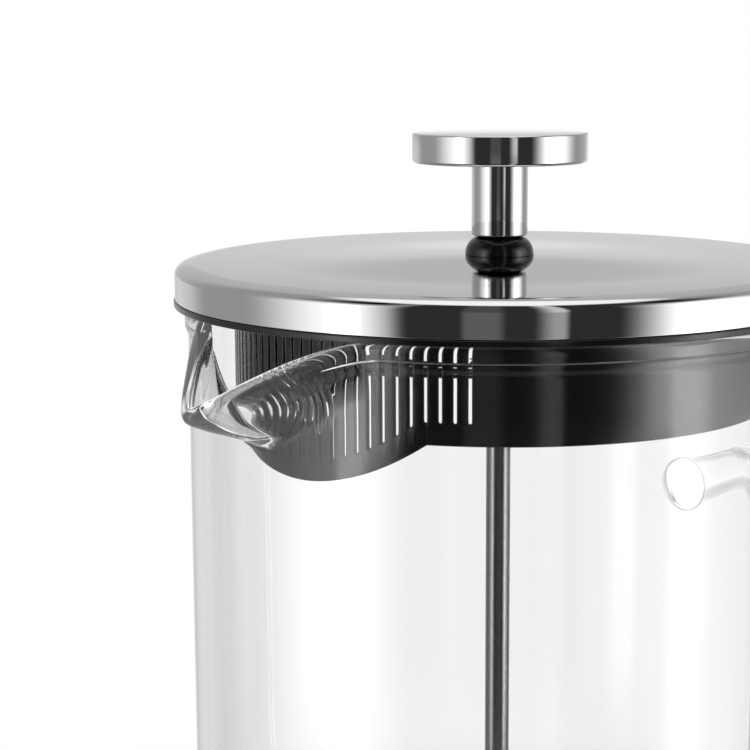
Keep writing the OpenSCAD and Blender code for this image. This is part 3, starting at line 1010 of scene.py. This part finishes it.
class PRESS_OT_filter(bpy.types.Operator):
    """Makes the filter: boss, perforated plate, edge spring and woven screen"""
    bl_idname = "press.filter"
    bl_label = "Filter"

    def execute(self, context):
        settings = context.scene.press_filter
        self.boss()
        self.plate(settings)
        self.spring(settings)
        self.screen()
        return {"FINISHED"}

    def boss(self):
        low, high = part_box("filter_boss")
        bore = ROD_RADIUS + RUNNING_GAP
        outer = high.y
        neck = outer - 0.7 * MM
        third = (high.z - low.z) / 3
        outline = rounded([
            (bore, low.z, 0),
            (outer, low.z, 0.4 * MM),
            (outer, low.z + third, 0.2 * MM),
            (neck, low.z + third + 0.4 * MM, 0.2 * MM),
            (neck, low.z + 1.6 * third, 0.2 * MM),
            (outer, low.z + 1.6 * third + 0.4 * MM, 0.2 * MM),
            (outer, high.z - 1 * MM, 0.2 * MM),
            (outer - 1 * MM, high.z, 0.2 * MM),
            (bore, high.z, 0),
        ], 4)
        piece_from("boss_nut", lathe(outline, 96), "bright_steel", "plunger", "filter_boss")

    def plate(self, settings):
        low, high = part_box("spiral_plate")
        rim, sheet = high.y, 0.76 * MM
        hub = ROD_RADIUS + 0.2 * MM
        step = 0.5 * MM
        outline = rounded([
            (hub, low.z, 0),
            (0.26 * rim, low.z, 0),
            (rim, low.z, 1.2 * MM),
            (rim, high.z, 0.2 * MM),
            (rim - sheet, high.z, 0.2 * MM),
            (rim - sheet, low.z + sheet, 0.5 * MM),
            (0.93 * rim, low.z + sheet, 0.3 * MM),
            (0.91 * rim, low.z + sheet + step, 0.3 * MM),
            (0.89 * rim, low.z + sheet, 0.3 * MM),
            (0.30 * rim, low.z + sheet, 0.3 * MM),
            (0.28 * rim, low.z + sheet + step, 0.3 * MM),
            (0.26 * rim, low.z + sheet, 0.3 * MM),
            (hub, low.z + sheet, 0),
        ], 4)
        blank = mesh_of("plate_blank", lathe(outline, 144))
        inputs = {"Holes": settings.holes, "Inner ring": 0.38 * rim, "Ring step": 0.22 * rim,
                  "Hole radius": 1.2 * MM, "Radius step": 0.5 * MM, "Height": low.z}
        graph, given = modifier_tree("perforated_plate", inputs, takes_mesh=True)
        cutters = graph.node("GeometryNodeJoinGeometry")
        for track in range(3):
            wide = given["Inner ring"] + given["Ring step"] * float(track)
            circle = graph.geometry("MeshCircle", {"Vertices": given["Holes"], "Radius": wide})
            punch = graph.geometry("MeshCylinder", {
                "Vertices": 24, "Depth": 6 * MM,
                "Radius": given["Hole radius"] + given["Radius step"] * float(track)})
            placed = graph.geometry("InstanceOnPoints", {"Points": circle, "Instance": punch})
            offset = track / 3 * 2 * math.pi
            spun = graph.geometry("Transform", {
                "Geometry": placed,
                "Translation": graph.vector(0.0, 0.0, given["Height"]),
                "Rotation": graph.vector(0.0, 0.0, offset / given["Holes"])})
            real = graph.geometry("RealizeInstances", {0: spun})
            graph.set(cutters.inputs[0], real)
        cut = graph.node("GeometryNodeMeshBoolean", {"operation": "DIFFERENCE", "solver": "EXACT"},
                         {"Mesh 1": given["Geometry"], "Mesh 2": cutters.outputs[0]}).outputs[0]
        finish_tree(graph, cut, "bright_steel")
        piece_from("top_plate", grown(graph, inputs, blank), "bright_steel", "plunger",
                   "spiral_plate", sharp=35)

    def spring(self, settings):
        low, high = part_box("edge_spring")
        tube = (high.z - low.z) / 2
        inputs = {
            "Turns": settings.turns,
            "Ring radius": high.y - tube,
            "Coil radius": tube - settings.wire / 2,
            "Middle": (low.z + high.z) / 2,
            "Wire radius": settings.wire / 2,
        }
        per_turn = 10
        graph, given = modifier_tree("closed_coil", inputs)
        count = given["Turns"] * per_turn
        line = graph.geometry("MeshLine", {"Count": count})
        index = graph.out(graph.node("GeometryNodeInputIndex"))
        around = index / count * (2 * math.pi)
        winding = index / per_turn * (2 * math.pi)
        reach = given["Ring radius"] + graph.math("COSINE", winding) * given["Coil radius"]
        height = given["Middle"] + graph.math("SINE", winding) * given["Coil radius"]
        place = graph.vector(graph.math("COSINE", around) * reach,
                             graph.math("SINE", around) * reach, height)
        wound = graph.geometry("SetPosition", {"Geometry": line, "Position": place})
        path = graph.geometry("MeshToCurve", {"Mesh": wound})
        ring = graph.geometry("SetSplineCyclic", {"Geometry": path, "Cyclic": True})
        section = graph.geometry("CurvePrimitiveCircle",
                                 {"Resolution": 6, "Radius": given["Wire radius"]})
        wire = graph.geometry("CurveToMesh", {"Curve": ring, "Profile Curve": section})
        finish_tree(graph, wire, "spring_steel")
        piece_from("coil_spring", grown(graph, inputs), "spring_steel", "plunger", "edge_spring",
                   sharp=180)

    def screen(self):
        low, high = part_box("mesh_screen")
        sheet = 0.28 * MM
        eye = 6.02 * MM
        outline = rounded([
            (eye, low.z, 0),
            (high.y, low.z, 0.8 * MM),
            (high.y, high.z, 0.1 * MM),
            (high.y - sheet, high.z, 0.1 * MM),
            (high.y - sheet, low.z + sheet, 0.5 * MM),
            (eye, low.z + sheet, 0),
        ], 5)
        piece_from("wire_cloth", lathe(outline, 240), "woven_steel", "plunger", "mesh_screen")


class PRESS_OT_hardware(bpy.types.Operator):
    """Gives the washers, nuts and the lower plate their finish"""
    bl_idname = "press.hardware"
    bl_label = "Washers, nuts and lower plate"

    def execute(self, context):
        slots = {row["node"]: row["material_slot"] for row in frame["record"]["subparts"]}
        for name, node in frame["nodes"].items():
            material = finish_for(slots[name])
            if node.material_slots:
                for place in node.material_slots:
                    place.material = material
            else:
                node.data.materials.append(material)
        return {"FINISHED"}


# ---------------------------------------------------------------- the stage

# Where the lights begin, are full, are last full and end, in degrees round from the camera.
LEFT_BOX = (-98, -55, -51, -32)
LEFT_CORE = (-62, -57, -52, -46)
RIGHT_BOX = (39.5, 74, 76, 118)
RIGHT_CORE = (61, 67, 73, 84)
BLACK_FLAG = (-40, -30, 52, 70)
STRIP = (11, 19.5, 21, 24)
GREY_CARD = (-13.5, -10.5, -1, 3)
DIMMED_WALL = (150, 165, 173, 179)
BRIGHTER_CORNER = (-166, -150, -136, -122)
CORE_HEIGHTS = (-32, -12, 4, 26)


class PRESS_OT_stage(bpy.types.Operator):
    """Sets the pale floor, the soft studio light and the camera"""
    bl_idname = "press.stage"
    bl_label = "Stage"

    def execute(self, context):
        studio = context.scene.press_studio
        self.floor()
        self.light(context.scene, studio)
        self.camera(context.scene, studio)
        context.scene.view_settings.view_transform = "Standard"
        return {"FINISHED"}

    def floor(self):
        """A pale floor that fades into the white backdrop."""
        pale = bmesh.new()
        bmesh.ops.create_circle(pale, cap_ends=True, segments=96, radius=0.3)
        mesh = mesh_of("floor", pale)
        mesh.transform(Matrix.Translation((0, 0, -0.1 * MM)))
        material, graph, shader, place = new_finish("floor")
        shader.inputs["Roughness"].default_value = 0.8
        clouds = graph.noise(place, 9.0, 2.0)
        tone = graph.blend(clouds, (0.90, 0.90, 0.90, 1), (0.93, 0.93, 0.93, 1))
        graph.set(shader.inputs["Base Color"], tone)
        x, y, _ = graph.xyz(place)
        fade = graph.step((x * x + y * y) ** 0.5, 0.11, 0.28)
        clear = graph.node("ShaderNodeBsdfTransparent")
        both = graph.node("ShaderNodeMixShader", None,
                          {0: fade, 1: shader.outputs[0], 2: clear.outputs[0]})
        output = material.node_tree.nodes["Material Output"]
        graph.set(output.inputs["Surface"], both.outputs[0])
        mesh.materials.append(material)
        floor = bpy.data.objects.new("floor", mesh)
        bpy.context.scene.collection.objects.link(floor)

    def light(self, scene, studio):
        """Soft boxes at both sides of the camera, with a black flag, strip and card between them."""
        world = bpy.data.worlds.new("studio")
        world.use_nodes = True
        scene.world = world
        graph = Graph(world.node_tree)
        world.node_tree.nodes.clear()
        ray = graph.node("ShaderNodeTexCoord").outputs["Generated"]
        x, y, z = graph.xyz(ray)
        turn = studio.azimuth
        rightward = x * math.cos(turn) + y * math.sin(turn)
        forward = x * math.sin(turn) - y * math.cos(turn)
        side = graph.math("ARCTAN2", rightward, forward) * (180 / math.pi)
        height = graph.math("ARCSINE", z) * (180 / math.pi)

        def between(value, edges):
            start, full, last, end = edges
            return graph.step(value, start, full) * (1 - graph.step(value, last, end))

        # the wall behind the press: a white backdrop in a grey room
        away = graph.math("ABSOLUTE", side)
        backdrop = graph.step(side, 143, 163) + graph.step(side, -156, -176)
        low = 1 - graph.step(height, -3, 0)
        screen = 1.0 - graph.step(height, -1, 5) * 0.30 - graph.step(height, 5, 8.5) * 0.16
        screen = screen - between(side, DIMMED_WALL) * low * 0.12
        room = 0.40 + graph.step(away, 118, 150) * 0.16
        room = room + between(side, BRIGHTER_CORNER) * low * 0.20
        grey = room + backdrop * (screen - room)

        # the lights on the camera's side
        left, right = between(side, LEFT_BOX), between(side, RIGHT_BOX)
        flag = between(side, BLACK_FLAG)
        level_with_lens = graph.step(height, -8, -2)
        strip = between(side, STRIP) * (1 + level_with_lens * 0.7)
        card = between(side, GREY_CARD) * (1 - level_with_lens * 0.5)
        boxes = (left * studio.left_light + right * studio.right_light) * (
            1 - graph.step(height, 14, 44))
        cores = (between(side, LEFT_CORE) + between(side, RIGHT_CORE)) * between(
            height, CORE_HEIGHTS)
        level = grey * (1 - left) * (1 - right) * (1 - flag) + boxes
        level = level + cores * studio.core_light
        level = level + strip * studio.strip_light + card * studio.card_light
        level = level + flag * studio.flag_light
        upward = graph.step(height, 54, 66)
        total = level * (1 - upward) + upward * studio.top_light
        studio_light = graph.node("ShaderNodeBackground", None, {"Strength": total})
        white = graph.node("ShaderNodeBackground", None, {"Strength": 1.0})
        for made in (studio_light, white):
            made.inputs["Color"].default_value = (1, 1, 1, 1)
        seen = graph.node("ShaderNodeLightPath").outputs["Is Camera Ray"]
        both = graph.node("ShaderNodeMixShader", None,
                          {0: seen, 1: studio_light.outputs[0], 2: white.outputs[0]})
        graph.node("ShaderNodeOutputWorld", None, {0: both.outputs[0]})

    def camera(self, scene, studio):
        data = bpy.data.cameras.new("camera")
        data.sensor_width = 36
        data.lens = studio.lens
        camera = bpy.data.objects.new("camera", data)
        scene.collection.objects.link(camera)
        edge_top = CAP_LOW + 5.65 * MM
        stand = Vector((math.sin(studio.azimuth), -math.cos(studio.azimuth), 0)) * studio.distance
        stand.z = edge_top + studio.height
        heading = Matrix.Rotation(studio.azimuth + studio.turn, 4, "Z")
        tilt = Matrix.Rotation(math.pi / 2 - studio.pitch, 4, "X")
        lean = Matrix.Rotation(studio.roll, 4, "Z")
        camera.matrix_world = Matrix.Translation(stand) @ heading @ tilt @ lean
        scene.camera = camera


class PRESS_PT_panel(bpy.types.Panel):
    """Lists the makers of the french press"""
    bl_idname = "PRESS_PT_panel"
    bl_label = "French press"
    bl_space_type = "VIEW_3D"
    bl_region_type = "UI"
    bl_category = "French press"

    def draw(self, context):
        layout = self.layout
        for operator in MAKERS:
            layout.operator(operator.bl_idname)
        for group in ("press_jug", "press_lid", "press_filter", "press_studio"):
            settings = getattr(context.scene, group)
            for key in settings.__annotations__:
                layout.prop(settings, key)


MAKERS = (
    PRESS_OT_hardware,
    PRESS_OT_jug,
    PRESS_OT_cap,
    PRESS_OT_strainer,
    PRESS_OT_bush,
    PRESS_OT_knob,
    PRESS_OT_filter,
    PRESS_OT_stage,
)
SETTINGS = {
    "press_jug": JugSettings,
    "press_lid": LidSettings,
    "press_filter": FilterSettings,
    "press_studio": StudioSettings,
}


def register():
    for group in SETTINGS.values():
        bpy.utils.register_class(group)
    for key, group in SETTINGS.items():
        setattr(bpy.types.Scene, key, PointerProperty(type=group))
    for made in (*MAKERS, PRESS_PT_panel):
        bpy.utils.register_class(made)


def unregister():
    for made in (PRESS_PT_panel, *reversed(MAKERS)):
        bpy.utils.unregister_class(made)
    for key in SETTINGS:
        delattr(bpy.types.Scene, key)
    for group in reversed(SETTINGS.values()):
        bpy.utils.unregister_class(group)


def main():
    register()
    for maker in MAKERS:
        group, name = maker.bl_idname.split(".")
        getattr(getattr(bpy.ops, group), name)()


if __name__ == "__main__":
    main()
